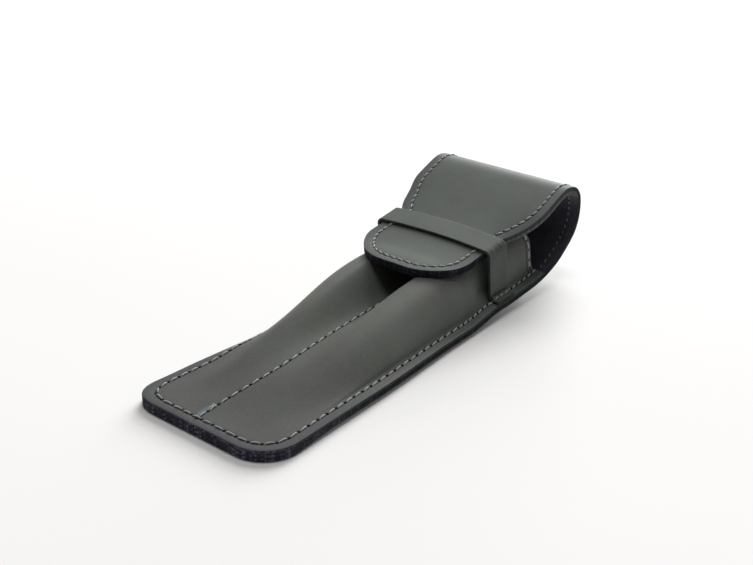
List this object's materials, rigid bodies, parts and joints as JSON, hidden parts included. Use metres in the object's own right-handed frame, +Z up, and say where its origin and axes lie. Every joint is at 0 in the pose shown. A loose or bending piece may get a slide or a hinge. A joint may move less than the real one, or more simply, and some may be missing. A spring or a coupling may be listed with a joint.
{
  "type": "double pen case",
  "caption": "Leather case with two moulded pen channels, a lined flap folded over the mouth, and a tongue held by a strap across the front.",
  "frame": {"origin": "on the surface that the case lies on, under the middle of its length and width", "axes": "+X across the case, +Y from its bottom end to the fold, +Z up from its back to its front"},
  "size_m": [0.0566, 0.1712, 0.0386],
  "materials": {
    "outer_leather": "smooth satin",
    "strap_leather": "smooth satin",
    "lining": "matt suede",
    "thread": "waxed sewing thread"
  },
  "bodies": {
    "case": {"back_outer": "outer_leather", "back_lining": "lining", "front_panel": "outer_leather", "strap": "strap_leather"},
    "fold_lower": {"fold_lower_outer": "outer_leather", "fold_lower_lining": "lining"},
    "fold_upper": {"fold_upper_outer": "outer_leather", "fold_upper_lining": "lining"},
    "flap": {"flap_outer": "outer_leather", "flap_lining": "lining", "tongue_outer": "outer_leather", "tongue_lining": "lining"}
  },
  "joints": [
    {"name": "fold_lower_bend", "type": "hinge", "parent": "case", "child": "fold_lower", "pos_m": [0, 0.07863, 0.01393], "axis": [-1, 0, 0], "range_deg": [0, 55], "deforming": ["tongue_outer", "tongue_lining"]},
    {"name": "fold_middle_bend", "type": "hinge", "parent": "fold_lower", "child": "fold_upper", "pos_m": [0, 0.08558, 0.0255], "axis": [-1, 0, 0], "range_deg": [0, 55]},
    {"name": "fold_upper_bend", "type": "hinge", "parent": "fold_upper", "child": "flap", "pos_m": [0, 0.07903, 0.03685], "axis": [-1, 0, 0], "range_deg": [0, 55]}
  ],
  "couplings": [
    {"joint": "fold_middle_bend", "follows": "fold_lower_bend", "ratio": 1},
    {"joint": "fold_upper_bend", "follows": "fold_lower_bend", "ratio": 1}
  ]
}
